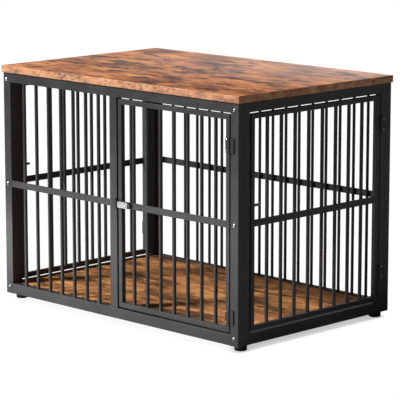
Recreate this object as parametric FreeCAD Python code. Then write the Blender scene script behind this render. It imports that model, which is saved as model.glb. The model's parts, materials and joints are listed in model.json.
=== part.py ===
import FreeCAD, Part
import math
import os

os.makedirs("parts", exist_ok=True)

# All sizes are in millimetres. +X is right, +Y is back, +Z is up, the floor is z = 0.

# Tabletop and frame
table_width = 1100.0
table_depth = 716.0
table_thick = 23.0
frame_width = 1092.0
frame_depth = 708.0
frame_height = 753.0
foot_height = 20.0
foot_radius = 20.0
tube_wall = 1.2
tube_round = 1.8

# Front and back panels are bolted onto the two side frames
panel_depth = 25.0
post_face = 34.0
top_rail_face = 32.0
bottom_rail_face = 34.0
mid_z = 398.0
side_post = 25.0
centre_post_x = -10.0

# Bars touch the back of the mid rails; the back panel's bars are thinner
bar_radius = 6.0
back_bar_radius = 5.0
bar_wall = 1.0
strip_thick = 3.0
strip_face = 22.0
front_bar_count = 7
back_bar_count = 16
back_bar_pitch = 60.5
back_bar_middle = -2.7

# Doors
door_tube = 16.0
door_round = 1.5
door_gap = 6.5
door_top_gap = 5.0
hinge_gap = 4.0
front_door_bars = 7
front_door_pitch = 60.6
front_door_bar_middle = 259.5
side_door_bars = 8

# Hinges, measured from the pin's axis
knuckle_radius = 3.5
pin_radius = 1.8
pin_clearance = 0.05
leaf_thick = 2.0
front_frame_leaf_thick = 3.5
leaf_height = 46.0
leaf_inner = 4.0
leaf_outer = 18.0
side_frame_leaf_outer = 20.5
leaf_round = 2.0
knuckle_gap = 0.3
front_screw_reach = 13.0
side_screw_reach = 14.5
hinge_screw_rise = 17.3
upper_hinge_z = 641.5
front_lower_hinge_z = 109.0
side_lower_hinge_z = 155.5

# Fasteners
bolt_radius = 4.0
bolt_head_radius = 6.5
bolt_head = 4.2
bolt_x = 529.0
bolt_inset = 23.0
screw_radius = 2.0
screw_head_radius = 4.0
screw_head = 2.4
screw_length = 9.0
hole_clearance = 0.05
top_screw_xs = (-421.0, -120.0, 120.0, 421.0)
top_screw_bite = 14.0

# Front latch: a shell that slides on a fixed T rail and carries a flat tongue
latch_left = 17.0
latch_length = 46.0
latch_face = 21.0
latch_proud = 9.0
latch_lift = 0.5
latch_travel = 7.0
latch_groove_reach = 8.5
latch_groove = 1.4
latch_skin = 1.5
latch_clear = 0.4
rail_web_thick = 2.0
rail_web_face = 12.0
rail_flange_thick = 2.5
rail_flange_face = 17.0
tongue_reach = 5.7
tongue_thick = 3.0
tongue_face = 18.0
tongue_low = 2.5
grip_radius = 10.0
grip_length = 12.0
keeper_left = -6.0
keeper_right = 9.0
keeper_thick = 1.5
keeper_depth = 6.2
keeper_loop = 20.0
keeper_face = 30.0

# Side bolts: rods that slide through the door's stile into the front post
rod_radius = 4.5
rod_z = 452.0
rod_tip_gap = 2.0
rod_handle = 29.0
rod_round = 1.2
rod_collar_radius = 6.0
rod_collar = 3.0
rod_collar_slack = 0.3
rod_hole = 11.0

# Floor
board_thick = 15.0
board_width = 1032.0
board_depth = 646.0
board_top = foot_height + bottom_rail_face - 1.0
bearer_width = 25.0
bearer_spacing = 350.0

# Feet screw into tabs on the side frames' bottom rails
foot_x = 516.0
front_foot_y = 311.0
rear_foot_y = 323.0
stud_radius = 3.0
stud_length = 12.0
tab_reach = 36.0
tab_length = 40.0
tab_thick = 3.0
tab_nut_radius = 5.5
tab_nut = 5.0

# Worked out from the sizes above
half_width = frame_width / 2
half_depth = frame_depth / 2
frame_low = foot_height
frame_high = foot_height + frame_height
rail_low = frame_low + bottom_rail_face
rail_high = frame_high - top_rail_face
strip_low = mid_z - strip_face / 2
strip_high = mid_z + strip_face / 2
door_low = rail_low + door_gap
door_high = rail_high - door_top_gap
panel_inner = half_width - post_face
side_panel_inner = half_depth - panel_depth - side_post
front_door_left = centre_post_x + post_face / 2 + door_gap
front_door_right = panel_inner - hinge_gap
side_door_latch_end = side_panel_inner - door_gap
side_door_hinge_end = side_panel_inner - hinge_gap
# The latch stands further out of the front than anything does at the back
origin_shift = (latch_proud - max(bolt_head, (table_depth - frame_depth) / 2)) / 2

# Each face of the crate: turn about Z, and distance from the middle to its outer surface
faces = {
    "front": (0, half_depth),
    "right": (90, half_width),
    "back": (180, half_depth),
    "left": (-90, half_width),
}


def vec(x, y, z):
    return FreeCAD.Vector(x, y, z)


def block(low, high):
    """Box between two corners."""
    size = [b - a for a, b in zip(low, high)]
    return Part.makeBox(size[0], size[1], size[2], vec(*low))


def rod(start, direction, radius, length):
    """Round bar from start along direction."""
    return Part.makeCylinder(radius, length, start, direction)


def round_along(shape, direction, radius):
    """Round the straight edges that run along one direction."""
    edges = []
    for edge in shape.Edges:
        if isinstance(edge.Curve, Part.Line) and abs(abs(edge.Curve.Direction.dot(direction)) - 1) < 1e-6:
            edges.append(edge)
    return shape.makeFillet(radius, edges)


def tube(low, high, axis, closed_low=False):
    """Hollow rectangular tube along x, y or z, open at its ends or capped at the low one."""
    k = "xyz".index(axis)
    direction = [vec(1, 0, 0), vec(0, 1, 0), vec(0, 0, 1)][k]
    inner_low = [a + tube_wall for a in low]
    inner_high = [b - tube_wall for b in high]
    if not closed_low:
        inner_low[k] = low[k] - 1
    inner_high[k] = high[k] + 1
    return round_along(block(low, high), direction, tube_round).cut(block(inner_low, inner_high))


def hexagon_bar(centre, direction, across, length, turn=0.0):
    """Hexagonal bar, its flats `across` apart."""
    corner = across / math.sqrt(3)
    points = []
    for i in range(7):
        angle = math.radians(60 * i + turn)
        points.append(vec(corner * math.cos(angle), corner * math.sin(angle), 0))
    bar = Part.Face(Part.makePolygon(points)).extrude(vec(0, 0, length))
    bar.Placement = FreeCAD.Placement(centre, FreeCAD.Rotation(vec(0, 0, 1), direction))
    return bar


def place(shape, face):
    """Move a shape from a face's own frame (x right, y inwards from its surface) to the crate."""
    turn, reach = faces[face]
    moved = shape.copy()
    moved.translate(vec(0, -reach, 0))
    moved.rotate(vec(0, 0, 0), vec(0, 0, 1), turn)
    return moved


def save(name, shapes):
    """Write one node; the frame's middle lies origin_shift behind the origin."""
    group = shapes[0] if len(shapes) == 1 else Part.makeCompound(shapes)
    group = group.copy()
    group.translate(vec(0, origin_shift, 0))
    group.exportStep("parts/" + name + ".step")


def table_board():
    """Tabletop board with blind holes for its screws."""
    low = (-table_width / 2, -table_depth / 2, frame_high)
    board = block(low, (table_width / 2, table_depth / 2, frame_high + table_thick))
    board = board.makeFillet(1.0, board.Edges)
    for x in top_screw_xs:
        for y in (panel_depth / 2 - half_depth, half_depth - panel_depth / 2):
            hole = rod(vec(x, y, frame_high), vec(0, 0, 1), screw_radius + hole_clearance, top_screw_bite)
            board = board.cut(hole)
    return board


def top_screw(x, y):
    """Screw inside a top rail, through its upper wall into the tabletop."""
    seat = frame_high - tube_wall
    head = rod(vec(x, y, seat - screw_head), vec(0, 0, 1), screw_head_radius, screw_head)
    shank = rod(vec(x, y, seat), vec(0, 0, 1), screw_radius, tube_wall + top_screw_bite - 1)
    return head.fuse(shank)


def panel_post(low_x, high_x, bolt_at):
    """Full-height corner post of the front or back panel, with its three bolt holes."""
    post = tube((low_x, 0, frame_low), (high_x, panel_depth, frame_high), "z", closed_low=True)
    for z in bolt_heights():
        hole = rod(vec(bolt_at, -1, z), vec(0, 1, 0), bolt_radius + 0.25, panel_depth + 2)
        post = post.cut(hole)
    return post


def bolt_heights():
    return (frame_low + bolt_inset, mid_z, frame_high - bolt_inset)


def panel_top_rail():
    """Top rail of the front or back panel; the tabletop's screws go in through its underside."""
    rail = tube((-panel_inner, 0, rail_high), (panel_inner, panel_depth, frame_high), "x")
    for x in top_screw_xs:
        start = vec(x, panel_depth / 2, rail_high - 1)
        rail = rail.cut(rod(start, vec(0, 0, 1), screw_head_radius + 2, tube_wall + 2))
        start = vec(x, panel_depth / 2, frame_high - tube_wall - 1)
        rail = rail.cut(rod(start, vec(0, 0, 1), screw_radius + 0.3, tube_wall + 2))
    return rail


def panel_bottom_rail():
    return tube((-panel_inner, 0, frame_low), (panel_inner, panel_depth, rail_low), "x")


def centre_post():
    low = (centre_post_x - post_face / 2, 0, rail_low)
    return tube(low, (centre_post_x + post_face / 2, panel_depth, rail_high), "z")


def strip(low_x, high_x):
    """Flat mid rail, flush with the outer surface, in front of the bars."""
    bar = block((low_x, 0, strip_low), (high_x, strip_thick, strip_high))
    return round_along(bar, vec(1, 0, 0), 0.8)


def bars(xs, low_z, high_z, radius=bar_radius):
    """Row of upright round tubes between two rails."""
    made = []
    for x in xs:
        outer = rod(vec(x, strip_thick + radius, low_z), vec(0, 0, 1), radius, high_z - low_z)
        start = vec(x, strip_thick + radius, low_z - 1)
        inner = rod(start, vec(0, 0, 1), radius - bar_wall, high_z - low_z + 2)
        made.append(outer.cut(inner))
    return made


def spread(low, high, count):
    """Middles of `count` bars that divide a span into equal gaps."""
    pitch = (high - low) / (count + 1)
    return [low + pitch * (i + 1) for i in range(count)]


def row(middle, pitch, count):
    """Middles of `count` bars at one pitch."""
    first = middle - pitch * (count - 1) / 2
    return [first + pitch * i for i in range(count)]


def side_frame_post(direction, rod_entry=False, hinge=False):
    """Upright of a side frame, at x = direction * ..., bolted to a panel on its outer end."""
    low_x = min(direction * side_panel_inner, direction * (side_panel_inner + side_post))
    post = tube((low_x, 0, frame_low), (low_x + side_post, side_post, frame_high), "z", closed_low=True)
    wall_x = direction * (side_panel_inner + side_post + 1)
    for z in bolt_heights():
        start = vec(wall_x, half_width - bolt_x, z)
        post = post.cut(rod(start, vec(-direction, 0, 0), bolt_radius + 0.25, tube_wall + 2))
    if rod_entry:
        reach = direction * side_panel_inner
        low = (min(reach - 2, reach + 2), door_tube / 2 - rod_hole / 2, rod_z - rod_hole / 2)
        high = (max(reach - 2, reach + 2), door_tube / 2 + rod_hole / 2, rod_z + rod_hole / 2)
        post = post.cut(block(low, high))
    if hinge:
        x = direction * (hinge_x_side() + side_screw_reach)
        for z in hinge_screw_heights((upper_hinge_z, side_lower_hinge_z)):
            post = post.cut(rod(vec(x, -1, z), vec(0, 1, 0), screw_radius + hole_clearance, tube_wall + 2))
    return post


def side_top_rail():
    low = (-side_panel_inner, 0, rail_high)
    return tube(low, (side_panel_inner, side_post, frame_high), "x")


def side_bottom_rail(front):
    """Bottom rail of a side frame with the two threaded tabs that the feet screw into."""
    low = (-side_panel_inner, 0, frame_low)
    rail = tube(low, (side_panel_inner, side_post, rail_low), "x")
    outer_end = side_panel_inner + side_post
    for direction, stud_x in ((front, front * front_foot_y), (-front, -front * rear_foot_y)):
        near = direction * (outer_end - tab_length)
        far = direction * outer_end
        tab = block((min(near, far), side_post, frame_low),
                    (max(near, far), side_post + tab_reach, frame_low + tab_thick))
        stud_at = vec(stud_x, half_width - foot_x, frame_low)
        nut = rod(stud_at, vec(0, 0, 1), tab_nut_radius, tab_thick + tab_nut)
        nut = nut.common(block((-outer_end, side_post, 0), (outer_end, side_post + tab_reach, rail_low)))
        hole = rod(stud_at - vec(0, 0, 1), vec(0, 0, 1), stud_radius + hole_clearance, 20)
        rail = rail.fuse(tab.fuse(nut).cut(hole))
    return rail.removeSplitter()


def foot(x, y):
    """Round plastic foot with its threaded stud."""
    pad = rod(vec(x, y, 0), vec(0, 0, 1), foot_radius, foot_height)
    rims = [edge for edge in pad.Edges if isinstance(edge.Curve, Part.Circle)]
    pad = pad.makeFillet(1.5, rims)
    return pad.fuse(rod(vec(x, y, foot_height - 2), vec(0, 0, 1), stud_radius, stud_length + 2))


def corner_bolt(x, z):
    """Round-headed socket bolt through a panel post into the nut in the side post."""
    head = rod(vec(x, -bolt_head, z), vec(0, 1, 0), bolt_head_radius, bolt_head)
    rim = [edge for edge in head.Edges if isinstance(edge.Curve, Part.Circle) and edge.Curve.Center.y < -1]
    head = head.makeFillet(2.4, rim)
    head = head.cut(hexagon_bar(vec(x, -bolt_head - 1, z), vec(0, 1, 0), 5.0, 3.2))
    return head.fuse(rod(vec(x, -0.5, z), vec(0, 1, 0), bolt_radius, panel_depth + 15))


def weld_nut(x, z):
    """Hexagonal nut behind the side post's outer wall."""
    start = vec(x, panel_depth + tube_wall, z)
    nut = hexagon_bar(start, vec(0, 1, 0), 13.0, 6.5, turn=30)
    return nut.cut(rod(start - vec(0, 1, 0), vec(0, 1, 0), bolt_radius + hole_clearance, 9))


def floor_bearer(x):
    """Cross tube between the front and back bottom rails, under the floor board."""
    reach = half_depth - panel_depth
    low = (x - bearer_width / 2, -reach, frame_low + 3)
    return tube(low, (x + bearer_width / 2, reach, board_top - board_thick), "y")


def floor_panel():
    low = (-board_width / 2, -board_depth / 2, board_top - board_thick)
    board = block(low, (board_width / 2, board_depth / 2, board_top))
    return board.makeFillet(1.0, board.Edges)


def mitred_tube(corner, along, inward, length):
    """Hollow square door tube with 45 degree ends, from an outer corner of the door."""
    def prism(inset):
        outline = [
            (inset, inset),
            (length - inset, inset),
            (length - door_tube + inset, door_tube - inset),
            (door_tube - inset, door_tube - inset),
        ]
        points = [corner + along * u + inward * v + vec(0, inset, 0) for u, v in outline]
        outline_face = Part.Face(Part.makePolygon(points + points[:1]))
        return outline_face.extrude(vec(0, door_tube - 2 * inset, 0))
    return round_along(prism(0), along, door_round).cut(prism(tube_wall))


def door(low_x, high_x, bar_xs, hinge_side):
    """The welded pieces of one door, hinged at +x or -x."""
    width = high_x - low_x
    height = door_high - door_low
    right, up = vec(1, 0, 0), vec(0, 0, 1)
    left_stile = mitred_tube(vec(low_x, 0, door_high), -up, right, height)
    right_stile = mitred_tube(vec(high_x, 0, door_low), up, -right, height)
    pieces = {
        "top_rail": mitred_tube(vec(high_x, 0, door_high), -right, -up, width),
        "bottom_rail": mitred_tube(vec(low_x, 0, door_low), right, up, width),
        "mid_rail": strip(low_x + door_tube, high_x - door_tube),
        "bars": Part.makeCompound(bars(bar_xs, door_low + door_tube, door_high - door_tube)),
        "hinge_stile": right_stile if hinge_side > 0 else left_stile,
        "latch_stile": left_stile if hinge_side > 0 else right_stile,
    }
    return pieces


def front_door():
    """Front door; its hinge stile has the holes for the hinges' screws."""
    xs = row(front_door_bar_middle, front_door_pitch, front_door_bars)
    pieces = door(front_door_left, front_door_right, xs, 1)
    x = hinge_x_front() - front_screw_reach
    for z in hinge_screw_heights((upper_hinge_z, front_lower_hinge_z)):
        hole = rod(vec(x, -1, z), vec(0, 1, 0), screw_radius + hole_clearance, tube_wall + 2)
        pieces["hinge_stile"] = pieces["hinge_stile"].cut(hole)
    return pieces


def side_door(hinge_side):
    """Side door; the bolt's rod runs through its latch stile."""
    ends = sorted((-hinge_side * side_door_latch_end, hinge_side * side_door_hinge_end))
    xs = spread(ends[0] + door_tube, ends[1] - door_tube, side_door_bars)
    pieces = door(ends[0], ends[1], xs, hinge_side)
    start = vec(-hinge_side * (side_door_latch_end + 1), door_tube / 2, rod_z)
    hole = rod(start, vec(hinge_side, 0, 0), rod_radius + 0.2, door_tube + 2)
    pieces["latch_stile"] = pieces["latch_stile"].cut(hole)
    return pieces


def hinge_x_front():
    return panel_inner - hinge_gap / 2


def hinge_x_side():
    return side_panel_inner - hinge_gap / 2


def hinge_screw_heights(hinge_heights):
    return [z + rise for z in hinge_heights for rise in (-hinge_screw_rise, hinge_screw_rise)]


def hinge_leaf(x, z, direction, outer, spans, screw_reach=None, thick=leaf_thick):
    """Hinge leaf reaching from the pin along x, with knuckles over the given thirds of its height."""
    low_z = z - leaf_height / 2
    leaf = block((leaf_inner, -thick, low_z), (outer, 0, low_z + leaf_height))
    outer_edges = [e for e in leaf.Edges if abs(e.CenterOfMass.x - outer) < 1e-6]
    corners = [e for e in outer_edges if abs(e.CenterOfMass.z - z) > 1]
    corners = [e for e in corners if e.Length < thick + 0.1]
    leaf = leaf.makeFillet(leaf_round, corners)
    third = leaf_height / 3
    for span in spans:
        start = low_z + span * third + (knuckle_gap / 2 if span > 0 else 0)
        end = low_z + (span + 1) * third - (knuckle_gap / 2 if span < 2 else 0)
        knuckle = rod(vec(0, -knuckle_radius, start), vec(0, 0, 1), knuckle_radius, end - start)
        leaf = leaf.fuse([knuckle, block((0, -thick, start), (leaf_inner, 0, end))])
    bore = rod(vec(0, -knuckle_radius, low_z - 1), vec(0, 0, 1), pin_radius + pin_clearance, leaf_height + 2)
    leaf = leaf.cut(bore)
    if screw_reach:
        for rise in (-hinge_screw_rise, hinge_screw_rise):
            start = vec(screw_reach, -thick - 1, z + rise)
            leaf = leaf.cut(rod(start, vec(0, 1, 0), screw_radius + 0.2, thick + 2))
    leaf = leaf.removeSplitter()
    if direction < 0:
        leaf = leaf.mirror(vec(0, 0, 0), vec(1, 0, 0))
    leaf.translate(vec(x, 0, 0))
    return leaf


def hinge_pin(x, z):
    """Hinge pin with a thin head on top."""
    low = vec(x, -knuckle_radius, z - leaf_height / 2 - 0.5)
    pin = rod(low, vec(0, 0, 1), pin_radius, leaf_height + 1)
    head = rod(low + vec(0, 0, leaf_height + 0.8), vec(0, 0, 1), pin_radius + 0.8, 1.2)
    return pin.fuse([head, rod(low + vec(0, 0, leaf_height), vec(0, 0, 1), pin_radius, 1.2)])


def hinge_screw(x, z):
    """Round-headed cross screw through a hinge leaf."""
    head = rod(vec(x, -leaf_thick - screw_head, z), vec(0, 1, 0), screw_head_radius, screw_head)
    rim = [e for e in head.Edges if isinstance(e.Curve, Part.Circle) and e.Curve.Center.y < -leaf_thick - 1]
    head = head.makeFillet(1.6, rim)
    top = -leaf_thick - screw_head
    for half_x, half_z in ((2.0, 0.45), (0.45, 2.0)):
        head = head.cut(block((x - half_x, top - 1, z - half_z), (x + half_x, top + 1.1, z + half_z)))
    return head.fuse(rod(vec(x, -leaf_thick - 0.5, z), vec(0, 1, 0), screw_radius, screw_length))


def latch_guide():
    """T rail on the front door that the latch shell slides on."""
    left = latch_left + latch_skin + 0.6
    right = latch_left + latch_length - latch_skin - latch_travel - 0.6
    web = block((left, -rail_web_thick, mid_z - rail_web_face / 2), (right, 0, mid_z + rail_web_face / 2))
    front = -rail_web_thick - rail_flange_thick
    flange = block((left, front, mid_z - rail_flange_face / 2),
                   (right, -rail_web_thick, mid_z + rail_flange_face / 2))
    return web.fuse(flange).removeSplitter()


def latch_slider():
    """Latch shell: a rounded block with a pocket that wraps the T rail and a groove near its grip."""
    right = latch_left + latch_length
    low_z = mid_z - latch_face / 2
    shell = block((latch_left, -latch_proud, low_z), (right, -latch_lift, low_z + latch_face))
    outer = [e for e in shell.Edges if e.CenterOfMass.y < -latch_lift - 0.1]
    shell = shell.makeFillet(1.6, outer)
    pocket_half = rail_flange_face / 2 + latch_clear
    front = -rail_web_thick - rail_flange_thick - latch_clear
    back = -rail_web_thick + latch_clear
    pocket = block((latch_left + latch_skin, front, mid_z - pocket_half),
                   (right - latch_skin, back, mid_z + pocket_half))
    throat_half = rail_web_face / 2 + latch_clear
    throat = block((latch_left + latch_skin, back, mid_z - throat_half),
                   (right - latch_skin, 0, mid_z + throat_half))
    groove_right = right - latch_groove_reach
    groove = block((groove_right - latch_groove, -latch_proud - 1, low_z - 1),
                   (groove_right, -latch_proud + 0.8, low_z + latch_face + 1))
    return shell.cut(pocket.fuse(throat)).cut(groove)


def latch_tongue():
    """Flat tongue on the shell's left end, which slides behind the keeper's strap."""
    low = (latch_left - tongue_reach, -tongue_low - tongue_thick, mid_z - tongue_face / 2)
    tongue = block(low, (latch_left, -tongue_low, mid_z + tongue_face / 2))
    tip = [e for e in tongue.Edges if abs(e.CenterOfMass.x - low[0]) < 1e-6 and e.Length < tongue_thick + 0.1]
    return tongue.makeFillet(1.5, tip)


def latch_grip():
    """D-shaped thumb grip on the shell's right end."""
    left = latch_left + latch_length
    front = -latch_proud + 0.8
    depth = latch_proud - 0.8 - 1.0
    disc_x = left + grip_length - grip_radius
    disc = rod(vec(disc_x, front, mid_z), vec(0, 1, 0), grip_radius, depth)
    disc = disc.common(block((left, front, mid_z - grip_radius), (left + 30, 0, mid_z + grip_radius)))
    body = block((left, front, mid_z - grip_radius), (disc_x, front + depth, mid_z + grip_radius))
    grip = disc.fuse(body).removeSplitter()
    rim = [e for e in grip.Edges if abs(e.BoundBox.YMax - front) < 1e-6 and e.CenterOfMass.x > left + 0.5]
    return grip.makeFillet(1.2, rim)


def latch_keeper():
    """Strap on the centre post; its two feet hold it clear of the post for the tongue."""
    low_z = mid_z - keeper_face / 2
    front = -keeper_depth - keeper_thick
    strap = block((keeper_left, front, low_z), (keeper_right, -keeper_depth, low_z + keeper_face))
    foot_height_each = (keeper_face - keeper_loop) / 2
    lower = block((keeper_left, -keeper_depth, low_z), (keeper_right, 0, low_z + foot_height_each))
    upper = lower.copy()
    upper.translate(vec(0, 0, keeper_face - foot_height_each))
    keeper = strap.fuse([lower, upper]).removeSplitter()
    outer = [e for e in keeper.Edges if e.Curve.Direction.x ** 2 > 0.99 and e.CenterOfMass.y < front + 0.1]
    return keeper.makeFillet(1.4, outer)


def side_bolt(hinge_side):
    """Rod, drawn back, and the ring inside the stile that stops it at both ends of its travel."""
    latch_end = -side_door_latch_end
    tip = latch_end - door_gap + rod_tip_gap
    inner_edge = latch_end + door_tube
    shaft = rod(vec(tip, 0, 0), vec(1, 0, 0), rod_radius, inner_edge + rod_handle - tip)
    rims = [edge for edge in shaft.Edges if isinstance(edge.Curve, Part.Circle)]
    collar_at = vec(inner_edge - tube_wall - rod_collar_slack - rod_collar, 0, 0)
    collar = rod(collar_at, vec(1, 0, 0), rod_collar_radius, rod_collar)
    bore = rod(collar_at - vec(1, 0, 0), vec(1, 0, 0), rod_radius + hole_clearance, rod_collar + 2)
    collar = collar.cut(bore)
    made = []
    for piece in (shaft.makeFillet(rod_round, rims), collar):
        piece.translate(vec(0, door_tube / 2, rod_z))
        made.append(piece if hinge_side > 0 else piece.mirror(vec(0, 0, 0), vec(1, 0, 0)))
    return made


# Tabletop and floor
rail_y = half_depth - panel_depth / 2
save("tabletop", [table_board()])
save("tabletop_screws", [top_screw(x, y) for x in top_screw_xs for y in (-rail_y, rail_y)])
save("floor_board", [floor_panel()])
save("floor_bearers", [floor_bearer(x) for x in (-bearer_spacing, 0, bearer_spacing)])

# Front and back panels
for face in ("front", "back"):
    names = ("left", "right") if face == "front" else ("right", "left")
    save(face + "_" + names[0] + "_post", [place(panel_post(-half_width, -panel_inner, -bolt_x), face)])
    save(face + "_" + names[1] + "_post", [place(panel_post(panel_inner, half_width, bolt_x), face)])
    save(face + "_top_rail", [place(panel_top_rail(), face)])
    save(face + "_bottom_rail", [place(panel_bottom_rail(), face)])
centre_left = centre_post_x - post_face / 2
save("front_centre_post", [place(centre_post(), "front")])
save("front_mid_rail", [place(strip(-panel_inner, centre_left), "front")])
save("back_mid_rail", [place(strip(-panel_inner, panel_inner), "back")])
front_xs = spread(-panel_inner, centre_left, front_bar_count)
back_xs = row(back_bar_middle, back_bar_pitch, back_bar_count)
save("front_bars", [place(bar, "front") for bar in bars(front_xs, rail_low, rail_high)])
back_bars = bars(back_xs, rail_low, rail_high, back_bar_radius)
save("back_bars", [place(bar, "back") for bar in back_bars])

# Side frames and doors; seen from outside, the right door's hinges are at +x and the left one's at -x
for face, hinge_side in (("right", 1), ("left", -1)):
    save(face + "_front_post", [place(side_frame_post(-hinge_side, rod_entry=True), face)])
    save(face + "_rear_post", [place(side_frame_post(hinge_side, hinge=True), face)])
    save(face + "_top_rail", [place(side_top_rail(), face)])
    save(face + "_bottom_rail", [place(side_bottom_rail(-hinge_side), face)])
    for piece, shape in side_door(hinge_side).items():
        save(face + "_door_" + piece, [place(shape, face)])
    save(face + "_bolt_rod", [place(piece, face) for piece in side_bolt(hinge_side)])
for piece, shape in front_door().items():
    save("front_door_" + piece, [place(shape, "front")])

# Corner fasteners and feet
bolts = []
nuts = []
for face in ("front", "back"):
    for x in (-bolt_x, bolt_x):
        for z in bolt_heights():
            bolts.append(place(corner_bolt(x, z), face))
            nuts.append(place(weld_nut(x, z), face))
save("corner_bolts", bolts)
save("corner_weld_nuts", nuts)
feet_at = [(x, y) for x in (-foot_x, foot_x) for y in (-front_foot_y, rear_foot_y)]
save("feet", [foot(x, y) for x, y in feet_at])

# Hinges: the front door's screws are in the door's leaf, the side doors' in the frame's leaf
frame_leaves = []
pins = []
side_screws = []
for face, hinge_side, lower in (("front", 1, front_lower_hinge_z), ("right", 1, side_lower_hinge_z),
                                ("left", -1, side_lower_hinge_z)):
    heights = (upper_hinge_z, lower)
    door_leaves = []
    for z in heights:
        if face == "front":
            x = hinge_x_front()
            screw_x = x - front_screw_reach
            frame_leaf = hinge_leaf(x, z, 1, leaf_outer, (1,), thick=front_frame_leaf_thick)
            door_leaf = hinge_leaf(x, z, -1, leaf_outer, (0, 2), front_screw_reach)
        else:
            x = hinge_side * hinge_x_side()
            screw_x = x + hinge_side * side_screw_reach
            frame_leaf = hinge_leaf(x, z, hinge_side, side_frame_leaf_outer, (1,), side_screw_reach)
            door_leaf = hinge_leaf(x, z, -hinge_side, leaf_outer, (0, 2))
        frame_leaves.append(place(frame_leaf, face))
        door_leaves.append(place(door_leaf, face))
        pins.append(place(hinge_pin(x, z), face))
    save(face + "_door_hinge_leaves", door_leaves)
    screws = [place(hinge_screw(screw_x, z), face) for z in hinge_screw_heights(heights)]
    if face == "front":
        save("front_hinge_screws", screws)
    else:
        side_screws += screws
save("hinge_frame_leaves", frame_leaves)
save("hinge_pins", pins)
save("side_hinge_screws", side_screws)

# Front latch
for name, make in (("latch_guide", latch_guide), ("latch_slider", latch_slider),
                   ("latch_tongue", latch_tongue), ("latch_grip", latch_grip),
                   ("latch_keeper", latch_keeper)):
    save(name, [place(make(), "front")])
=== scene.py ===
import json
import math
import bmesh
import bpy
from mathutils import Matrix, Vector


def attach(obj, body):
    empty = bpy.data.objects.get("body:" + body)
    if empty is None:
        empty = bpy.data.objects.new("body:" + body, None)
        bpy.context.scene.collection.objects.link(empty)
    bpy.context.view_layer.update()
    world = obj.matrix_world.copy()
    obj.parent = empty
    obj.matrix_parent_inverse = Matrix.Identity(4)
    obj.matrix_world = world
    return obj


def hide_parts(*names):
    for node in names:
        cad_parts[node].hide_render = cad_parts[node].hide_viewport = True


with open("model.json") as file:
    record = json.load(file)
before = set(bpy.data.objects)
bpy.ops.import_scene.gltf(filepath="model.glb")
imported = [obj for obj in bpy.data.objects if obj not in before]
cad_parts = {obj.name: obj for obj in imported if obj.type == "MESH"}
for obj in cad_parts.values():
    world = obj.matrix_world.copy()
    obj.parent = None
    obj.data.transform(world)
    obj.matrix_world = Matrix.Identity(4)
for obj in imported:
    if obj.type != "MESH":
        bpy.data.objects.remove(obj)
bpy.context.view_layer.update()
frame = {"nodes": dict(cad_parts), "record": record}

nodes = frame["nodes"]
setBack = 0.0024  # the frame's middle lies this far behind the origin


def tint(red, green, blue):
    # screen colour, 0 to 255, to the linear values that shaders want
    linear = []
    for part in (red, green, blue):
        part /= 255
        linear.append(part / 12.92 if part <= 0.04045 else ((part + 0.055) / 1.055) ** 2.4)
    return (*linear, 1.0)


def wire(tree, kind, feeds=None, **settings):
    # adds a node; feeds are sockets to link or values to set, by socket name or number
    made = tree.nodes.new(kind)
    for name, value in settings.items():
        setattr(made, name, value)
    for key, value in (feeds or {}).items():
        if isinstance(value, bpy.types.NodeSocket):
            tree.links.new(value, made.inputs[key])
        else:
            made.inputs[key].default_value = value
    return made


def maths(tree, operation, *values, clamp=False):
    made = wire(tree, "ShaderNodeMath", dict(enumerate(values)), operation=operation, use_clamp=clamp)
    return made.outputs[0]


# materials

def startMaterial(name):
    material = bpy.data.materials.new(name)
    material.use_nodes = True
    tree = material.node_tree
    tree.nodes.clear()
    shader = tree.nodes.new("ShaderNodeBsdfPrincipled")
    output = tree.nodes.new("ShaderNodeOutputMaterial")
    tree.links.new(shader.outputs[0], output.inputs["Surface"])
    spot = tree.nodes.new("ShaderNodeTexCoord").outputs["Object"]
    return material, tree, shader, spot


def scaled(values, share):
    return tuple(part * share for part in values)


def noise(tree, spot, stretch, detail=4.0, roughness=0.55, distortion=0.0, move=(0, 0, 0)):
    # noise whose blobs are about 1/stretch metres long on each axis
    mapped = wire(tree, "ShaderNodeMapping", {"Vector": spot, "Location": move, "Scale": stretch})
    made = wire(tree, "ShaderNodeTexNoise", {
        "Vector": mapped.outputs[0], "Scale": 1.0, "Detail": detail,
        "Roughness": roughness, "Distortion": distortion})
    return made.outputs[0]


def ramp(tree, factor, stops):
    made = wire(tree, "ShaderNodeValToRGB", {"Fac": factor})
    band = made.color_ramp
    while len(band.elements) < len(stops):
        band.elements.new(0.5)
    for element, (place, colour) in zip(band.elements, stops):
        element.position = place
        element.color = colour
    return made.outputs["Color"]


def blendColours(tree, factor, first, second):
    made = wire(tree, "ShaderNodeMix", {"Factor": factor, 6: first, 7: second}, data_type="RGBA")
    return made.outputs[2]


def span(tree, value, low, high, toLow=0.0, toHigh=1.0):
    # smooth step between two values; noise itself lies mostly between 0.3 and 0.7
    made = wire(tree, "ShaderNodeMapRange", {
        "Value": value, "From Min": low, "From Max": high, "To Min": toLow, "To Max": toHigh},
        interpolation_type="SMOOTHSTEP")
    return made.outputs[0]


def bump(tree, shader, height, strength, distance):
    made = wire(tree, "ShaderNodeBump", {"Height": height, "Strength": strength, "Distance": distance})
    tree.links.new(made.outputs[0], shader.inputs["Normal"])


powder = {
    "colour": tint(50, 50, 51),
    "dusty": tint(60, 59, 58),
    "hingeColour": tint(40, 40, 41),
    "hingeDusty": tint(50, 49, 48),
    "speckColour": tint(84, 82, 80),
    "speckShare": 0.35,
    "roughness": (0.40, 0.50),
    "shine": 0.42,
    "cloudPerMetre": 9.0,
    "speckPerMetre": 260.0,
    "peelPerMetre": 620.0,
    "peelHeight": 0.00012,
}


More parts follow.
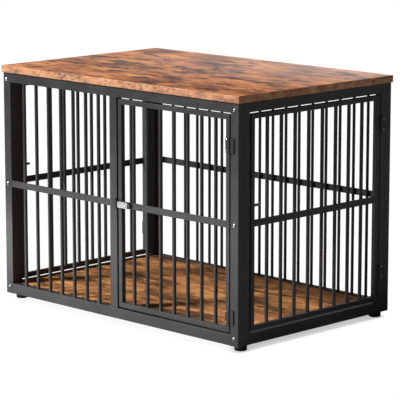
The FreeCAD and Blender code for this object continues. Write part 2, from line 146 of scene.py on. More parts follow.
def makePowderCoat(name, colour, dusty):
    material, tree, shader, spot = startMaterial(name)
    cloud = noise(tree, spot, (powder["cloudPerMetre"],) * 3, detail=5)
    speck = noise(tree, spot, (powder["speckPerMetre"],) * 3, detail=2)
    peel = noise(tree, spot, (powder["peelPerMetre"],) * 3, detail=2, roughness=0.4)
    shade = blendColours(tree, span(tree, cloud, 0.42, 0.68), colour, dusty)
    specks = span(tree, speck, 0.66, 0.74, 0, powder["speckShare"])
    shade = blendColours(tree, specks, shade, powder["speckColour"])
    tree.links.new(shade, shader.inputs["Base Color"])
    tree.links.new(span(tree, cloud, 0.3, 0.7, *powder["roughness"]), shader.inputs["Roughness"])
    shader.inputs["Specular IOR Level"].default_value = powder["shine"]
    bump(tree, shader, peel, 0.5, powder["peelHeight"])
    return material


metal = {
    # scratches in a metre on each axis; the latch's and the rod's run long on one axis
    "bolt": {"colour": tint(174, 175, 178), "roughness": 0.28, "scratchPerMetre": (900.0, 900.0, 900.0)},
    "latch": {"colour": tint(184, 184, 184), "roughness": 0.34, "scratchPerMetre": (120.0, 1500.0, 1500.0)},
    "rod": {"colour": tint(140, 140, 143), "roughness": 0.30, "scratchPerMetre": (1200.0, 72.0, 1200.0)},
    "roughnessSpread": 0.07,
    "dulling": 0.72,
    "stainPerMetre": 55.0,
    "scratchDepth": 0.00004,
}


def makeMetal(name, finish):
    material, tree, shader, spot = startMaterial(name)
    scratch = noise(tree, spot, finish["scratchPerMetre"], detail=3, roughness=0.6)
    stain = noise(tree, spot, (metal["stainPerMetre"],) * 3, detail=4)
    dull = scaled(finish["colour"][:3], metal["dulling"]) + (1.0,)
    shade = blendColours(tree, span(tree, stain, 0.45, 0.75, 0, 0.6), finish["colour"], dull)
    tree.links.new(shade, shader.inputs["Base Color"])
    shader.inputs["Metallic"].default_value = 1.0
    middle, spread = finish["roughness"], metal["roughnessSpread"]
    rough = maths(tree, "ADD", span(tree, scratch, 0.3, 0.7, middle - spread, middle + spread),
                  span(tree, stain, 0.5, 0.8, 0, 0.08))
    tree.links.new(rough, shader.inputs["Roughness"])
    bump(tree, shader, scratch, 0.25, metal["scratchDepth"])
    return material


plastic = {
    "colour": tint(30, 30, 31),
    "scuffed": tint(52, 51, 50),
    "grainPerMetre": 1100.0,
    "grainDepth": 0.00012,
    "scuffPerMetre": (40.0, 40.0, 120.0),
    "roughness": (0.5, 0.68),
}


def makePlastic(name):
    material, tree, shader, spot = startMaterial(name)
    grain = noise(tree, spot, (plastic["grainPerMetre"],) * 3, detail=2)
    scuff = noise(tree, spot, plastic["scuffPerMetre"], detail=6, roughness=0.65)
    shade = blendColours(tree, span(tree, scuff, 0.5, 0.78), plastic["colour"], plastic["scuffed"])
    tree.links.new(shade, shader.inputs["Base Color"])
    tree.links.new(span(tree, scuff, 0.35, 0.7, *plastic["roughness"]), shader.inputs["Roughness"])
    bump(tree, shader, grain, 0.6, plastic["grainDepth"])
    return material


topWood = {
    "light": tint(216, 144, 86),
    "middle": tint(176, 110, 68),
    "deep": tint(104, 64, 46),
    "patch": tint(44, 38, 40),
    # the blush tone is partly a painted sheen, laid in random areas rather than where light falls
    "toneAndSheen": tint(160, 112, 96),
    "patchPerMetre": (8.5, 21.0, 21.0),
    "patchFrom": (0.535, 0.605),
    "clumping": 0.45,
    "streakPerMetre": (20.0, 120.0, 120.0),
    "streakFrom": (0.54, 0.64),
    "grainPerMetre": (22.0, 150.0, 150.0),
    "rampStops": (0.40, 0.50, 0.59),
    "broadShare": 0.6,
    "grainShare": 0.4,
    "toneAndSheenShare": 0.45,
    "patchShare": 0.82,
    "streakShare": 0.6,
    "fineShare": 0.25,
    "raggedness": 0.34,
    "sway": 0.007,
    "move": (3.1, 0.7, 0.2),
    "apart": 9.0,
    "toneAndSheenMove": (5.0, 8.0, 1.0),
    "roughness": (0.55, 0.72),
    "shine": 0.3,
    "grainDepth": 0.0002,
}
edgeWood = dict(topWood, light=tint(226, 170, 126), middle=tint(204, 146, 106), deep=tint(160, 108, 80),
                patch=tint(104, 80, 74), toneAndSheen=tint(210, 156, 132), patchPerMetre=(34.0, 34.0, 80.0),
                patchFrom=(0.54, 0.66), streakPerMetre=(80.0, 80.0, 240.0), grainPerMetre=(90.0, 90.0, 420.0),
                move=(7.7, 5.1, 2.3))
floorWood = dict(topWood, light=tint(230, 164, 102), middle=tint(194, 132, 80), deep=tint(124, 82, 50),
                 patch=tint(58, 43, 33), toneAndSheen=tint(170, 118, 78), patchPerMetre=(7.0, 22.0, 22.0),
                 patchFrom=(0.50, 0.60), shine=0.05, move=(11.3, 2.9, 0.4))


def makeWood(name, wood):
    material, tree, shader, spot = startMaterial(name)
    # two places in the noise, so that fewer of the patterns line up
    move = wood["move"]
    far = tuple(part + wood["apart"] for part in move)
    patchSize = wood["patchPerMetre"]
    grainSize = wood["grainPerMetre"]

    # the grain and the patches sway a little across the board
    sway = noise(tree, spot, scaled(patchSize, 0.35), detail=2, move=far)
    sway = wire(tree, "ShaderNodeCombineXYZ", {"Y": span(tree, sway, 0.2, 0.8, -wood["sway"], wood["sway"])})
    bent = wire(tree, "ShaderNodeVectorMath", {0: spot, 1: sway.outputs[0]}, operation="ADD").outputs[0]

    # base colour: broad bands of light and dark with grain in them, and random areas of a softer pinkish-grey
    # tone that are partly painted sheen
    broad = noise(tree, bent, scaled(patchSize, 0.6), detail=5, roughness=0.6, move=far)
    grain = noise(tree, bent, grainSize, detail=5, roughness=0.65, move=move)
    mixed = maths(tree, "ADD", maths(tree, "MULTIPLY", broad, wood["broadShare"]),
                  maths(tree, "MULTIPLY", grain, wood["grainShare"]))
    shade = ramp(tree, mixed, list(zip(wood["rampStops"], (wood["deep"], wood["middle"], wood["light"]))))
    toneAndSheen = noise(tree, bent, scaled(patchSize, 0.8), detail=4, move=wood["toneAndSheenMove"])
    shade = blendColours(tree, span(tree, toneAndSheen, 0.5, 0.7, 0, wood["toneAndSheenShare"]), shade, wood["toneAndSheen"])

    # dark patches, torn along the grain and gathered in clumps
    patches = noise(tree, bent, patchSize, detail=6, roughness=0.62, distortion=0.35, move=move)
    clumps = noise(tree, spot, scaled(patchSize, 0.3), detail=1, move=move)
    torn = maths(tree, "MULTIPLY", maths(tree, "SUBTRACT", grain, 0.5), wood["raggedness"])
    gathered = maths(tree, "MULTIPLY", maths(tree, "SUBTRACT", clumps, 0.5), wood["clumping"])
    patches = maths(tree, "ADD", maths(tree, "ADD", patches, torn), gathered)
    patches = span(tree, patches, *wood["patchFrom"], 0, wood["patchShare"])
    shade = blendColours(tree, patches, shade, wood["patch"])

    # thin dark streaks and the finest grain
    streaks = noise(tree, bent, wood["streakPerMetre"], detail=4, roughness=0.6, distortion=0.2, move=far)
    streaks = span(tree, streaks, *wood["streakFrom"], 0, wood["streakShare"])
    shade = blendColours(tree, streaks, shade, wood["patch"])
    fine = noise(tree, bent, scaled(grainSize, 4), detail=2, move=far)
    shade = blendColours(tree, span(tree, fine, 0.45, 0.75, 0, wood["fineShare"]), shade, wood["deep"])

    tree.links.new(shade, shader.inputs["Base Color"])
    tree.links.new(span(tree, grain, 0.3, 0.7, *wood["roughness"]), shader.inputs["Roughness"])
    shader.inputs["Specular IOR Level"].default_value = wood["shine"]
    height = maths(tree, "ADD", grain, maths(tree, "MULTIPLY", fine, 0.5))
    bump(tree, shader, height, 0.35, wood["grainDepth"])
    return material


blackSteel = makePowderCoat("blackPowderCoat", powder["colour"], powder["dusty"])
hingeBlack = makePowderCoat("hingeEnamel", powder["hingeColour"], powder["hingeDusty"])
boltSteel = makeMetal("zincBoltSteel", metal["bolt"])
latchSilver = makeMetal("satinLatchSteel", metal["latch"])
rodSteel = makeMetal("drawnRodSteel", metal["rod"])
footPlastic = makePlastic("footPlastic")
boardTop = makeWood("rusticTopBoard", topWood)
boardEdge = makeWood("rusticEdgeBand", edgeWood)
boardFloor = makeWood("rusticFloorBoard", floorWood)
bySlot = {
    "black_steel": blackSteel,
    "hinge_black": hingeBlack,
    "bolt_steel": boltSteel,
    "screw_steel": rodSteel,
    "latch_silver": latchSilver,
    "rod_steel": rodSteel,
    "grip_plastic": footPlastic,
    "foot_plastic": footPlastic,
    "top_board": boardTop,
    "floor_wood": boardFloor,
}
for part in frame["record"]["subparts"]:
    cadMesh = nodes[part["node"]].data
    cadMesh.materials.clear()
    cadMesh.materials.append(bySlot[part["material_slot"]])
print("materials are on every CAD node")


# helpers for meshes and Geometry Nodes

def addMesh(name, verts, edges=(), faces=()):
    mesh = bpy.data.meshes.new(name)
    mesh.from_pydata([tuple(v) for v in verts], edges, faces)
    mesh.update()
    thing = bpy.data.objects.new(name, mesh)
    bpy.context.scene.collection.objects.link(thing)
    return thing


def turned(name, profile, angles):
    # closed shape turned about +Z; each ring is (height, radius or a function of the angle)
    verts = []
    for height, radius in profile:
        for angle in angles:
            reach = radius(angle) if callable(radius) else radius
            verts.append((reach * math.cos(angle), reach * math.sin(angle), height))
    count = len(angles)
    faces = []
    for ring in range(len(profile) - 1):
        lower, upper = ring * count, (ring + 1) * count
        for i in range(count):
            after = (i + 1) % count
            faces.append((lower + i, lower + after, upper + after, upper + i))
    faces.append(tuple(reversed(range(count))))
    faces.append(tuple(range(len(verts) - count, len(verts))))
    return addMesh(name, verts, faces=faces)


# how far each side is turned, in degrees, and how far its outside is from the middle
crateSides = {"front": (0, 0.354), "right": (90, 0.546), "back": (180, 0.354), "left": (-90, 0.546)}


def inFace(face, x, y, z):
    # x to the right and y inwards from the outside of one side of the crate, in metres
    turn, reach = crateSides[face]
    spot = Matrix.Rotation(math.radians(turn), 3, "Z") @ Vector((x, y - reach, z))
    return spot + Vector((0, setBack, 0))


def startTree(name, sockets):
    tree = bpy.data.node_groups.new(name, "GeometryNodeTree")
    tree.is_modifier = True
    tree.interface.new_socket("Geometry", in_out="INPUT", socket_type="NodeSocketGeometry")
    for label, kind in sockets:
        tree.interface.new_socket(label, in_out="INPUT", socket_type="NodeSocket" + kind)
    tree.interface.new_socket("Geometry", in_out="OUTPUT", socket_type="NodeSocketGeometry")
    return tree, tree.nodes.new("NodeGroupInput").outputs


def endTree(tree, geometry, material):
    real = wire(tree, "GeometryNodeRealizeInstances", {"Geometry": geometry})
    painted = wire(tree, "GeometryNodeSetMaterial", {"Geometry": real.outputs[0], "Material": material})
    output = tree.nodes.new("NodeGroupOutput")
    tree.links.new(painted.outputs[0], output.inputs[0])


def grow(seed, tree, values, name, sharpAngle=35.0):
    # runs a tree on a seed object and keeps the result as a plain mesh at the origin
    modifier = seed.modifiers.new("grow", "NODES")
    modifier.node_group = tree
    for item in tree.interface.items_tree:
        if item.item_type == "SOCKET" and item.in_out == "INPUT" and item.name in values:
            modifier[item.identifier] = values[item.name]
    seed.update_tag()
    graph = bpy.context.evaluated_depsgraph_get()
    mesh = bpy.data.meshes.new_from_object(seed.evaluated_get(graph), depsgraph=graph)
    seed.modifiers.remove(modifier)
    old = seed.data
    seed.data = mesh
    if old.users == 0:
        bpy.data.meshes.remove(old)
    seed.name = name
    mesh.name = name
    for polygon in mesh.polygons:
        polygon.use_smooth = True
    mesh.set_sharp_from_angle(angle=math.radians(sharpAngle))
    return seed


# bars: one spine, swept with a flared weld at both ends, and repeated along the rails

bar = {
    "radius": 0.006,
    "backRadius": 0.005,
    "stripThick": 0.003,
    "weldWidth": 0.0009,
    "weldHeight": 0.0042,
    "weldCurve": 1.6,
    "weldSteps": (0.0, 0.0007, 0.0014, 0.0022, 0.0031, 0.0042),
    "middleSteps": 6,
    "lumps": 0.0006,
    "lumpsPerMetre": 420.0,
    "lumpLevel": 0.45,
    "lumpGain": 2.0,
    "sides": 20,
    "lowRail": 0.054,
    "highRail": 0.741,
    "doorTube": 0.016,
    "gap": 0.0065,
    "topGap": 0.005,
}


def makeBarTree():
    tree, given = startTree("barRow", (
        ("Count", "Int"), ("Pitch", "Vector"), ("Bar Radius", "Float"), ("Weld Width", "Float"),
        ("Weld Height", "Float"), ("Lumps", "Float"), ("Seed", "Int"), ("Material", "Material")))
    spine = wire(tree, "GeometryNodeMeshToCurve", {"Mesh": given["Geometry"]}).outputs[0]
    along = tree.nodes.new("GeometryNodeSplineParameter").outputs["Length"]
    whole = tree.nodes.new("GeometryNodeSplineLength").outputs["Length"]
    fromEnd = maths(tree, "MINIMUM", along, maths(tree, "SUBTRACT", whole, along))
    flare = maths(tree, "SUBTRACT", 1.0, maths(tree, "DIVIDE", fromEnd, given["Weld Height"]), clamp=True)
    flare = maths(tree, "POWER", flare, bar["weldCurve"])
    spine = wire(tree, "GeometryNodeStoreNamedAttribute", {
        "Geometry": spine, "Name": "weld", "Value": flare}, data_type="FLOAT", domain="POINT").outputs[0]
    radius = maths(tree, "ADD", given["Bar Radius"], maths(tree, "MULTIPLY", flare, given["Weld Width"]))
    ring = wire(tree, "GeometryNodeCurvePrimitiveCircle", {"Resolution": bar["sides"], "Radius": 1.0})
    swept = wire(tree, "GeometryNodeCurveToMesh", {
        "Curve": spine, "Profile Curve": ring.outputs[0], "Scale": radius, "Fill Caps": True})
    line = wire(tree, "GeometryNodeMeshLine", {
        "Count": given["Count"], "Start Location": (0, 0, 0), "Offset": given["Pitch"]})
    row = wire(tree, "GeometryNodeInstanceOnPoints", {
        "Points": line.outputs[0], "Instance": swept.outputs[0]}).outputs[0]
    row = wire(tree, "GeometryNodeRealizeInstances", {"Geometry": row}).outputs[0]
    weld = wire(tree, "GeometryNodeInputNamedAttribute", {"Name": "weld"}, data_type="FLOAT").outputs[0]
    place = tree.nodes.new("GeometryNodeInputPosition").outputs[0]
    facing = tree.nodes.new("GeometryNodeInputNormal").outputs[0]
    lumpy = wire(tree, "ShaderNodeTexNoise", {
        "Vector": place, "W": given["Seed"], "Scale": bar["lumpsPerMetre"], "Detail": 1.0},
        noise_dimensions="4D").outputs[0]
    push = maths(tree, "MULTIPLY", maths(tree, "SUBTRACT", lumpy, bar["lumpLevel"]), given["Lumps"])
    push = maths(tree, "MULTIPLY", push, maths(tree, "MULTIPLY", weld, bar["lumpGain"]))
    offset = wire(tree, "ShaderNodeVectorMath", {0: facing, "Scale": push}, operation="SCALE").outputs[0]
    row = wire(tree, "GeometryNodeSetPosition", {"Geometry": row, "Offset": offset}).outputs[0]
    endTree(tree, row, given["Material"])
    return tree


def barHeights(low, high):
    # close together in the welds at both ends, and far apart between them
    weld, steps, count = bar["weldHeight"], bar["weldSteps"], bar["middleSteps"]
    middle = [weld + (high - low - 2 * weld) * i / count for i in range(1, count)]
    return [low + step for step in steps + tuple(middle)] + [high - step for step in reversed(steps)]


barTree = makeBarTree()
doorLow = bar["lowRail"] + bar["gap"] + bar["doorTube"]
doorHigh = bar["highRail"] - bar["topGap"] - bar["doorTube"]
barRows = (
    # name, face, first bar, pitch, how many, low end, high end, body, CAD node
    ("frontBars", "front", -0.451375, 0.060625, 7, bar["lowRail"], bar["highRail"], "frame", "front_bars"),
    ("backBars", "back", -0.45645, 0.0605, 16, bar["lowRail"], bar["highRail"], "frame", "back_bars"),
    ("frontDoorBars", "front", 0.0777, 0.0606, 7, doorLow, doorHigh, "front_door", "front_door_bars"),
    ("rightDoorBars", "right", -0.2186667, 0.0628333, 8, doorLow, doorHigh, "right_door", "right_door_bars"),
    ("leftDoorBars", "left", -0.2211667, 0.0628333, 8, doorLow, doorHigh, "left_door", "left_door_bars"),
)
for number, (name, face, first, pitch, count, low, high, body, cadNode) in enumerate(barRows):
    heights = barHeights(low, high)
    radius = bar["backRadius"] if face == "back" else bar["radius"]
    depth = bar["stripThick"] + radius
    points = [inFace(face, first, depth, z) for z in heights]
    seed = addMesh(name, points, [(i, i + 1) for i in range(len(points) - 1)])
    stride = inFace(face, first + pitch, depth, low) - points[0]
    piece = grow(seed, barTree, {
        "Count": count, "Pitch": tuple(stride), "Bar Radius": radius, "Weld Width": bar["weldWidth"],
        "Weld Height": bar["weldHeight"], "Lumps": bar["lumps"], "Seed": 11 + number,
        "Material": blackSteel}, name)
    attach(piece, body)
    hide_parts(cadNode)
print("bars are in")


# weld seams: a line of overlapping beads along each joint

seam = {
    "radius": 0.0013,
    "spacing": 0.0021,
    "seed": 5,
    "sharpAngle": 60.0,
    "beadSizes": (0.82, 1.16),
    "wall": 0.003,  # how far the beads in a corner keep from the faces at its ends
    "railDepth": 0.025,
    "railSpans": ((0.743, 0.7695), (0.0235, 0.0525)),
    "railEnds": (("front", 0.512), ("back", 0.512), ("left", 0.304), ("right", 0.304)),
    "centrePostSides": (-0.027, 0.007),
    "centrePostDepth": 0.022,
    "stripSpan": (0.3895, 0.4065),
    "stripReach": 0.0038,
    "stripDepth": 0.0037,
    "doorEnds": ((0.0135, 0.508), (-0.2975, 0.300), (-0.300, 0.2975)),
    "innerSink": 0.0003,
    "outerSink": 0.0009,
    "mitreSpans": ((0.12, 0.97), (0.10, 0.95)),  # shares of the tube's width
    "cornerStop": 0.002,
}


def makeSeamTree():
    tree, given = startTree("weldSeams", (
        ("Bead Radius", "Float"), ("Bead Spacing", "Float"), ("Seed", "Int"), ("Material", "Material")))
    lines = wire(tree, "GeometryNodeMeshToCurve", {"Mesh": given["Geometry"]}).outputs[0]
    dots = wire(tree, "GeometryNodeResampleCurve", {"Curve": lines, "Length": given["Bead Spacing"]},
                mode="LENGTH")
    bead = wire(tree, "GeometryNodeMeshUVSphere", {"Segments": 8, "Rings": 5, "Radius": given["Bead Radius"]})
    smallest, largest = seam["beadSizes"]
    bigness = wire(tree, "FunctionNodeRandomValue", {2: smallest, 3: largest, "Seed": given["Seed"]},
                   data_type="FLOAT").outputs[1]
    row = wire(tree, "GeometryNodeInstanceOnPoints", {
        "Points": dots.outputs[0], "Instance": bead.outputs[0], "Scale": bigness}).outputs[0]
    endTree(tree, row, given["Material"])
    return tree


def addSeams(name, body, lines):
    verts, edges = [], []
    for start, end in lines:
        edges.append((len(verts), len(verts) + 1))
        verts += [start, end]
    piece = grow(addMesh(name, verts, edges), seamTree, {
        "Bead Radius": seam["radius"], "Bead Spacing": seam["spacing"], "Seed": seam["seed"],
        "Material": blackSteel}, name, seam["sharpAngle"])
    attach(piece, body)


def railSeams(face, end):
    # inside corners of both rails: along the back of the joint and across the rail's inner side
    lines = []
    depth, wall = seam["railDepth"], seam["wall"]
    for x in (-end, end):
        for low, high in seam["railSpans"]:
            lines.append((inFace(face, x, depth, low), inFace(face, x, depth, high)))
            inner = low if low > bar["lowRail"] else high
            lines.append((inFace(face, x, wall, inner), inFace(face, x, depth - wall, inner)))
    return lines


def stripSeams(face, first, pitch, count):
    # both sides of every bar, where it lies against the flat mid rail
    lines = []
    depth = seam["stripDepth"]
    low, high = seam["stripSpan"]
    for i in range(count):
        for side in (-seam["stripReach"], seam["stripReach"]):
            x = first + pitch * i + side
            lines.append((inFace(face, x, depth, low), inFace(face, x, depth, high)))
    return lines


def doorSeams(face, low, high):
    # mitred corners: across the inner and outer faces of the tube, and down the inside corner
    lines = []
    tube = bar["doorTube"]
    zLow, zHigh = bar["lowRail"] + bar["gap"], bar["highRail"] - bar["topGap"]
    depths = (tube - seam["innerSink"], seam["outerSink"])
    for x, inward in ((low, tube), (high, -tube)):
        for z, up in ((zLow, tube), (zHigh, -tube)):
            for depth, (start, stop) in zip(depths, seam["mitreSpans"]):
                lines.append((inFace(face, x + inward * start, depth, z + up * start),
                              inFace(face, x + inward * stop, depth, z + up * stop)))
            lines.append((inFace(face, x + inward, seam["wall"], z + up),
                          inFace(face, x + inward, tube - seam["cornerStop"], z + up)))
    return lines


seamTree = makeSeamTree()
frameLines = []
for face, end in seam["railEnds"]:
    frameLines += railSeams(face, end)
for x in seam["centrePostSides"]:
    for z in (bar["lowRail"], bar["highRail"]):
        frameLines.append((inFace("front", x, seam["wall"], z),
                           inFace("front", x, seam["centrePostDepth"], z)))
for name, face, first, pitch, count, low, high, body, cadNode in barRows[:2]:
    frameLines += stripSeams(face, first, pitch, count)
addSeams("frameWelds", "frame", frameLines)
for (name, face, first, pitch, count, low, high, body, cadNode), ends in zip(barRows[2:], seam["doorEnds"]):
    addSeams(face + "DoorWelds", body, stripSeams(face, first, pitch, count) + doorSeams(face, *ends))
print("weld seams are in")


# bolts and screws: one turned head of each kind, copied to every place

fastener = {
    "boltX": 0.529, "boltHeights": (0.043, 0.398, 0.750),
    "boltRadius": 0.0062, "boltHeight": 0.0041, "washerRadius": 0.0066, "washerHeight": 0.0007,
    "hexAcross": 0.005, "hexDepth": 0.0030,
    "screwRadius": 0.0040, "screwHeight": 0.0024,
    "crossWidth": 0.0009, "crossReach": 0.0019, "crossDepth": 0.0013,
    "largestSpin": 6.28, "padReach": 0.0005,
}


def makeCopyTree():
    tree, given = startTree("copiedHeads", (("Head", "Object"), ("Seed", "Int"), ("Material", "Material")))
    head = wire(tree, "GeometryNodeObjectInfo", {"Object": given["Head"]}).outputs["Geometry"]
    facing = tree.nodes.new("GeometryNodeInputNormal").outputs[0]
    stand = wire(tree, "FunctionNodeAlignRotationToVector", {"Vector": facing}, axis="Z").outputs[0]
    spin = wire(tree, "FunctionNodeRandomValue", {
        2: 0.0, 3: fastener["largestSpin"], "Seed": given["Seed"]}, data_type="FLOAT").outputs[1]
    twist = wire(tree, "FunctionNodeAxisAngleToRotation", {"Axis": (0, 0, 1), "Angle": spin}).outputs[0]
    turn = wire(tree, "FunctionNodeRotateRotation", {"Rotation": stand, "Rotate By": twist},
                rotation_space="LOCAL").outputs[0]
    kept = wire(tree, "GeometryNodeCaptureAttribute", {"Geometry": given["Geometry"]}, domain="FACE")
    kept.capture_items.new("ROTATION", "Turn")
    tree.links.new(turn, kept.inputs["Turn"])
    dots = wire(tree, "GeometryNodeMeshToPoints", {"Mesh": kept.outputs[0]}, mode="FACES")
    row = wire(tree, "GeometryNodeInstanceOnPoints", {
        "Points": dots.outputs[0], "Instance": head, "Rotation": kept.outputs["Turn"]}).outputs[0]
    endTree(tree, row, given["Material"])
    return tree


def ringOf(count):
    return [2 * math.pi * i / count for i in range(count)]


def hexRadius(across):
    return lambda angle: across / 2 / math.cos((angle + math.pi / 6) % (math.pi / 3) - math.pi / 6)


def crossRadius(half, reach):
    def radius(angle):
        part = abs((angle + math.pi / 4) % (math.pi / 2) - math.pi / 4)
        return min(reach / math.cos(part), half / max(math.sin(part), 1e-6))
    return radius


def domeRings(radius, rise, firstAngle, lastAngle, steps, base=0.0, narrowest=0.0):
    # rings of part of a ball, flattened so that the last one is at base + rise
    rings = []
    tall = math.sin(math.radians(lastAngle))
    for step in range(steps + 1):
        angle = math.radians(firstAngle + (lastAngle - firstAngle) * step / steps)
        if radius * math.cos(angle) > narrowest:
            rings.append((base + rise * math.sin(angle) / tall, radius * math.cos(angle)))
    return rings


def makeBoltHead():
    # rings of height and radius, listed from the washer up and over into the hexagon socket
    size = fastener
    top, across, floor = size["boltHeight"], size["hexAcross"], size["boltHeight"] - size["hexDepth"]
    washer = [(0.0, 0.002), (0.0, size["washerRadius"]), (size["washerHeight"], size["washerRadius"]),
              (size["washerHeight"], size["boltRadius"] - 0.0002)]
    dome = domeRings(size["boltRadius"], top - size["washerHeight"], firstAngle=12, lastAngle=70, steps=6,
                     base=size["washerHeight"], narrowest=across * 0.63)
    socket = [(top, across * 0.62), (top - 0.0003, hexRadius(across)), (floor, hexRadius(across)),
              (floor - 0.0006, 0.0008)]
    return turned("boltHead", washer + dome + socket, ringOf(24))


def makeScrewHead():
    # the cross needs an angle at each side of its four arms
    size = fastener
    top, half, reach = size["screwHeight"], size["crossWidth"] / 2, size["crossReach"]
    side = math.atan2(half, reach)
    turns = (-side, side, math.radians(28), math.radians(45), math.radians(62))
    angles = sorted(quarter * math.pi / 2 + turn for quarter in range(4) for turn in turns)
    dome = domeRings(size["screwRadius"], top, firstAngle=8, lastAngle=60, steps=5, narrowest=0.0021)
    cross, floor = crossRadius(half, reach), top - size["crossDepth"]
    recess = [(top, 0.00205), (top - 0.0001, cross), (floor, cross), (floor - 0.0002, 0.0003)]
    return turned("screwHead", [(0.0, 0.0012), (0.0, size["screwRadius"])] + dome + recess, angles)


def pads(spots, normal):
    # tiny faces that carry the place and the direction of each head
    side = normal.orthogonal().normalized() * fastener["padReach"]
    other = normal.cross(side)
    verts, faces = [], []
    for spot in spots:
        faces.append(tuple(range(len(verts), len(verts) + 4)))
        verts += [spot + side, spot + other, spot - side, spot - other]
    return verts, faces


def addHeads(name, body, head, groups, material, cadNode, seedNumber):
    verts, faces = [], []
    for spots, normal in groups:
        more, moreFaces = pads(spots, Vector(normal))
        faces += [tuple(i + len(verts) for i in corners) for corners in moreFaces]
        verts += more
    piece = grow(addMesh(name, verts, faces=faces), copyTree, {
        "Head": head, "Seed": seedNumber, "Material": material}, name)
    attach(piece, body)
    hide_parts(cadNode)


copyTree = makeCopyTree()
boltHead = makeBoltHead()
screwHead = makeScrewHead()
boltGroups = []
for face, normal in (("front", (0, -1, 0)), ("back", (0, 1, 0))):
    ends = (-fastener["boltX"], fastener["boltX"])
    spots = [inFace(face, x, 0, z) for x in ends for z in fastener["boltHeights"]]
    boltGroups.append((spots, normal))
addHeads("cornerBoltHeads", "frame", boltHead, boltGroups, boltSteel, "corner_bolts", 3)

hinge = {
    "upper": 0.6415, "frontLower": 0.109, "sideLower": 0.1555, "rise": 0.0173,
    "frontReach": 0.013, "sideReach": 0.0145, "leaf": 0.002, "frontX": 0.510, "sideX": 0.302,
}


def screwSpots(face, x, heights):
    rises = (-hinge["rise"], hinge["rise"])
    return [inFace(face, x, -hinge["leaf"], z + rise) for z in heights for rise in rises]


frontX = hinge["frontX"] - hinge["frontReach"]
frontScrews = screwSpots("front", frontX, (hinge["upper"], hinge["frontLower"]))
addHeads("frontHingeScrewHeads", "front_door", screwHead, [(frontScrews, (0, -1, 0))],
         boltSteel, "front_hinge_screws", 7)
sideX = hinge["sideX"] + hinge["sideReach"]
sideHeights = (hinge["upper"], hinge["sideLower"])
sideScrews = [(screwSpots("right", sideX, sideHeights), (1, 0, 0)),
              (screwSpots("left", -sideX, sideHeights), (-1, 0, 0))]
addHeads("sideHingeScrewHeads", "frame", screwHead, sideScrews,
         boltSteel, "side_hinge_screws", 9)
print("bolts and screws are in")


# feet

foot = {
    "radius": 0.0198, "height": 0.0199, "ribs": 36, "ribDepth": 0.0005,
    "spots": ((-0.516, -0.311), (0.516, -0.311), (-0.516, 0.323), (0.516, 0.323)),
}


def makeFoot():
    # rounded rims at the floor and at the top, with a ribbed band between two grooves
    radius, top, depth = foot["radius"], foot["height"], foot["ribDepth"]
    step = 2 * math.pi / (foot["ribs"] * 2)

    def ribbed(angle):
        return radius - depth * (round(angle / step) % 2)

    rings = [(0.0, 0.006), (0.0, radius - 0.0024), (0.0008, radius - 0.0010), (0.0022, radius - 0.0002),
             (0.0040, radius - 0.0001), (0.0050, radius - 0.0009), (0.0056, ribbed), (0.0160, ribbed),
             (0.0166, radius - 0.0009), (0.0176, radius - 0.0002), (0.0190, radius - 0.0006),
             (top, radius - 0.0020), (top, 0.004)]
    return turned("footShape", rings, ringOf(foot["ribs"] * 2))


footShape = makeFoot()
footSpots = [Vector((x, y + setBack, 0)) for x, y in foot["spots"]]
addHeads("ribbedFeet", "frame", footShape, [(footSpots, (0, 0, 1))], footPlastic, "feet", 1)
for prototype in (boltHead, screwHead, footShape):
    bpy.data.objects.remove(prototype)
print("feet are in")


# tabletop: a veneered board with a band round its edge

tabletop = {
    "low": (-0.550, -0.358, 0.773), "high": (0.550, 0.358, 0.796),
    "band": 0.0012, "bandSetIn": 0.0001, "bandRound": 0.00045, "boardRound": 0.0003,
    "roundSteps": 3, "sharpAngle": 50.0,
}


def roundedBlock(name, low, high, radius, material):
    xs, ys, zs = zip(low, high)
    verts = [(x, y + setBack, z) for x in xs for y in ys for z in zs]
    faces = [(0, 1, 3, 2), (4, 6, 7, 5), (0, 4, 5, 1), (2, 3, 7, 6), (0, 2, 6, 4), (1, 5, 7, 3)]
    block = addMesh(name, verts, faces=faces)
    work = bmesh.new()
    work.from_mesh(block.data)
    bmesh.ops.bevel(work, geom=work.edges[:], offset=radius, segments=tabletop["roundSteps"],
                    profile=0.5, affect="EDGES", clamp_overlap=True)
    bmesh.ops.recalc_face_normals(work, faces=work.faces)
    work.to_mesh(block.data)
    work.free()
    block.data.materials.append(material)
    for polygon in block.data.polygons:
        polygon.use_smooth = True
    block.data.set_sharp_from_angle(angle=math.radians(tabletop["sharpAngle"]))
    return block


def makeTabletop():
    low, high, band, setIn = (tabletop[part] for part in ("low", "high", "band", "bandSetIn"))
    board = roundedBlock("tabletopBoard", (low[0] + band, low[1] + band, low[2]),
                         (high[0] - band, high[1] - band, high[2]), tabletop["boardRound"], boardTop)
    made = [board]
    for name, xs, ys in (
            ("front", (low[0], high[0]), (low[1], low[1] + band)),
            ("back", (low[0], high[0]), (high[1] - band, high[1])),
            ("left", (low[0], low[0] + band), (low[1] + band, high[1] - band)),
            ("right", (high[0] - band, high[0]), (low[1] + band, high[1] - band))):
        made.append(roundedBlock(name + "EdgeBand", (xs[0], ys[0], low[2] + setIn),
                                 (xs[1], ys[1], high[2] - setIn), tabletop["bandRound"], boardEdge))
    return made


tableParts = makeTabletop()
for piece in tableParts:
    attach(piece, "frame")
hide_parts("tabletop")
print("tabletop is in")


# camera, floor and light

view = {
    "target": (0.4666, -0.4389, 0.4802),
    "from": (5.1225, -5.1042, 1.6912),
    "lens": 199.75,
    "farClip": 60.0,
}
camera = bpy.data.objects.new("camera", bpy.data.cameras.new("camera"))
bpy.context.scene.collection.objects.link(camera)
camera.data.lens = view["lens"]
camera.data.clip_end = view["farClip"]
camera.location = Vector(view["from"]) + Vector((0, setBack, 0))
aim = Vector(view["target"]) - Vector(view["from"])
camera.rotation_euler = aim.to_track_quat("-Z", "Y").to_euler()
bpy.context.scene.camera = camera

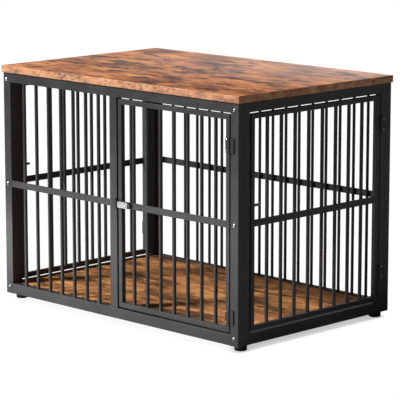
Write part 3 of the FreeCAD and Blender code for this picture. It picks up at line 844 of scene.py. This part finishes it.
studio = {
    "floorReach": 9.0,
    "floorDrop": 0.0003,
    "floorGlow": 1.02,
    "floorShade": 0.50,
    "farShade": 0.93,
    "shadeFrom": (0.13, 0.22),
    "shadeReach": 0.07,
    "shadeSamples": 24,
    "shadeShares": (0.35, 0.97),
    "shadeToward": (-0.12, -0.93, 0.34),
    "floorBounce": 0.27,
    "worldSeen": 1.0,
    "worldLight": 0.10,
    "sunFrom": (-0.35, -0.61, 0.71),
    "sunStrength": 5.0,
    "sunAngle": 12.0,
    "sunDistance": 6.0,
    "lights": (
        # name, from, aimed at, width, height, watts, spread in degrees
        ("frontStrip", (-0.75, -1.00, 0.05), (-0.25, -0.3, 0.08), 1.7, 0.10, 5.4, 180),
        ("backBox", (-2.75, 3.95, 1.6), (0.12, 0.03, 1.0), 2.8, 0.6, 1.6, 20),
    ),
}


def addFloor():
    reach, height = studio["floorReach"], -studio["floorDrop"]
    corners = [(reach * x, reach * y, height) for x, y in ((-1, -1), (1, -1), (1, 1), (-1, 1))]
    floor = addMesh("floor", corners, faces=[(0, 1, 2, 3)])
    material = bpy.data.materials.new("paleFloor")
    material.use_nodes = True
    tree = material.node_tree
    tree.nodes.clear()
    seen = tree.nodes.new("ShaderNodeLightPath").outputs["Is Camera Ray"]
    # painted shadow: where the camera sees the floor, its glow is dimmed by ambient occlusion, most where X
    # plus Y is large, to the right of and behind the near corner
    toward = Vector(studio["shadeToward"]).normalized()
    shade = wire(tree, "ShaderNodeAmbientOcclusion", {
        "Distance": studio["shadeReach"], "Normal": toward},
        samples=studio["shadeSamples"]).outputs["AO"]
    # rays that go under the floor always hit it, so the open floor's value is well under 1
    openShare = (1 + toward.z) / 2
    darkShare, fullShare = studio["shadeShares"]
    spot = tree.nodes.new("ShaderNodeTexCoord").outputs["Object"]
    apart = wire(tree, "ShaderNodeSeparateXYZ", {0: spot}).outputs
    across = maths(tree, "ADD", apart["X"], apart["Y"])
    darkest = span(tree, across, *studio["shadeFrom"], studio["farShade"], studio["floorShade"])
    glow = wire(tree, "ShaderNodeMapRange", {
        "Value": shade, "From Min": openShare * darkShare, "From Max": openShare * fullShare,
        "To Min": darkest, "To Max": studio["floorGlow"]}).outputs[0]
    bright = wire(tree, "ShaderNodeEmission", {"Color": (1, 1, 1, 1), "Strength": glow}).outputs[0]
    dim = wire(tree, "ShaderNodeBsdfDiffuse", {"Color": (studio["floorBounce"],) * 3 + (1,)}).outputs[0]
    mixed = wire(tree, "ShaderNodeMixShader", {0: seen, 1: dim, 2: bright}).outputs[0]
    output = tree.nodes.new("ShaderNodeOutputMaterial")
    tree.links.new(mixed, output.inputs["Surface"])
    floor.data.materials.append(material)


def addLight(name, kind, spot, target, energy):
    lamp = bpy.data.lights.new(name, kind)
    lamp.energy = energy
    thing = bpy.data.objects.new(name, lamp)
    bpy.context.scene.collection.objects.link(thing)
    thing.location = spot
    thing.rotation_euler = (Vector(target) - Vector(spot)).to_track_quat("-Z", "Y").to_euler()
    return lamp


def addLights():
    sun = addLight("sun", "SUN", Vector(studio["sunFrom"]) * studio["sunDistance"], (0, 0, 0),
                   studio["sunStrength"])
    sun.angle = math.radians(studio["sunAngle"])
    for name, spot, target, width, height, watts, spread in studio["lights"]:
        lamp = addLight(name, "AREA", spot, target, watts)
        lamp.shape = "RECTANGLE"
        lamp.size = width
        lamp.size_y = height
        lamp.spread = math.radians(spread)


def addWorld():
    world = bpy.data.worlds.new("studioWorld")
    world.use_nodes = True
    tree = world.node_tree
    tree.nodes.clear()
    seen = tree.nodes.new("ShaderNodeLightPath").outputs["Is Camera Ray"]
    strength = wire(tree, "ShaderNodeMapRange", {
        "Value": seen, "To Min": studio["worldLight"], "To Max": studio["worldSeen"]}).outputs[0]
    glow = wire(tree, "ShaderNodeBackground", {"Color": (1, 1, 1, 1), "Strength": strength})
    output = tree.nodes.new("ShaderNodeOutputWorld")
    tree.links.new(glow.outputs[0], output.inputs["Surface"])
    bpy.context.scene.world = world


addFloor()
addLights()
addWorld()
bpy.context.scene.view_settings.view_transform = "Standard"
print("studio is in")
